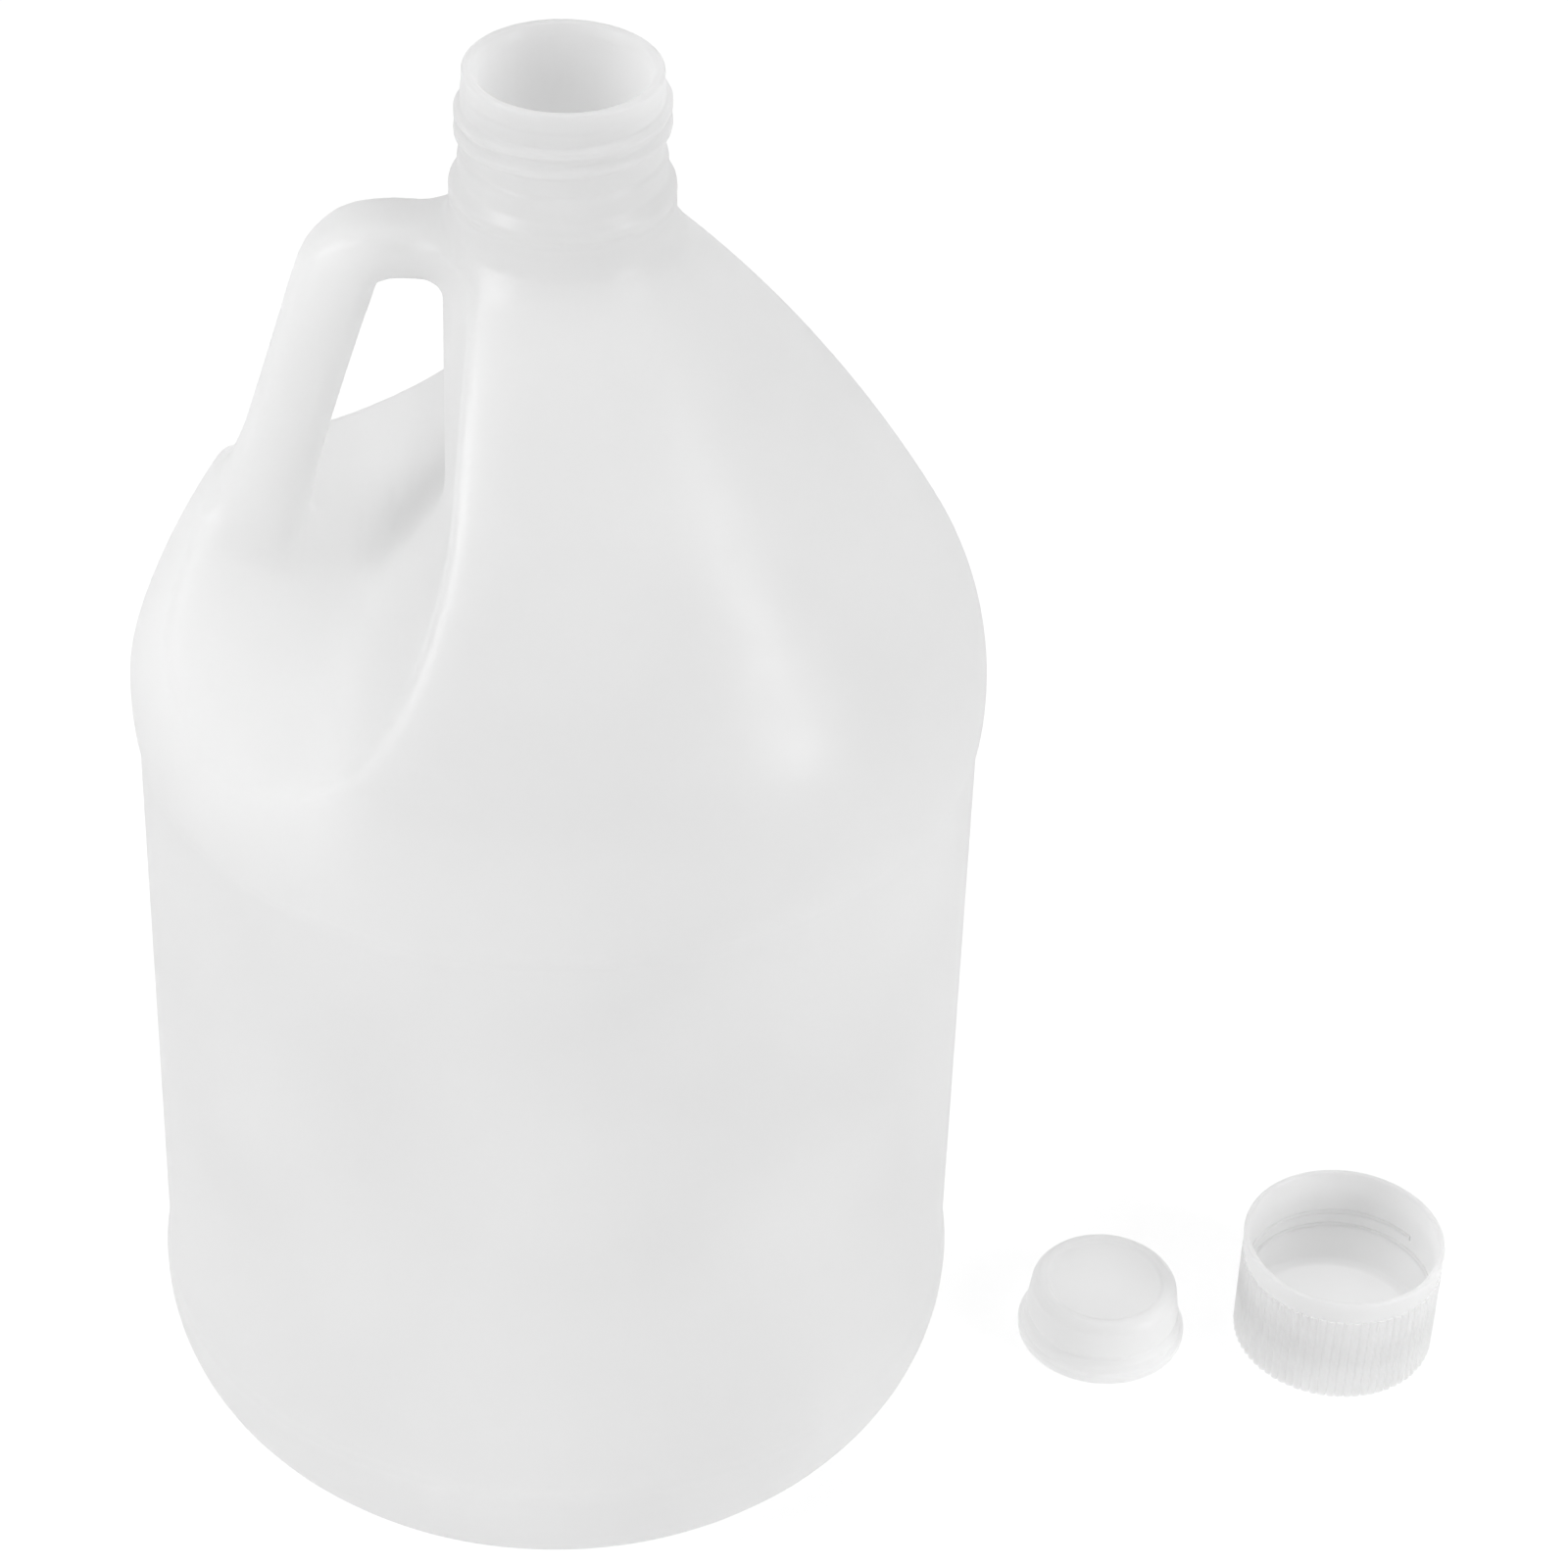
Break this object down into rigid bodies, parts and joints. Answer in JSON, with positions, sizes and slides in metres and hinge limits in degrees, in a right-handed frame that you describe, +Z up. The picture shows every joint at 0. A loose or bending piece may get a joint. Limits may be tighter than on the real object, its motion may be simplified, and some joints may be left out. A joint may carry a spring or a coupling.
{
  "type": "plastic jug",
  "caption": "Round handled plastic jug with an open screw neck, standing beside its ribbed screw cap and its inner plug on the same floor.",
  "frame": {"origin": "middle of the footprint of all three pieces together, on the floor they stand on", "axes": "+Z up along the jug's axis, -X from the jug's axis towards its handle (the handle is turned a few degrees towards +Y), +X from the jug towards its cap"},
  "size_m": [0.2615, 0.1582, 0.295],
  "materials": {
    "jug": "natural blow-moulded polyethylene, milky and softly glossy",
    "cap": "natural injection-moulded polypropylene with fine upright ribs",
    "plug": "soft natural polyethylene, satin"
  },
  "bodies": {
    "root": {"jug": "jug", "cap": "cap", "plug": "plug"}
  },
  "joints": []
}
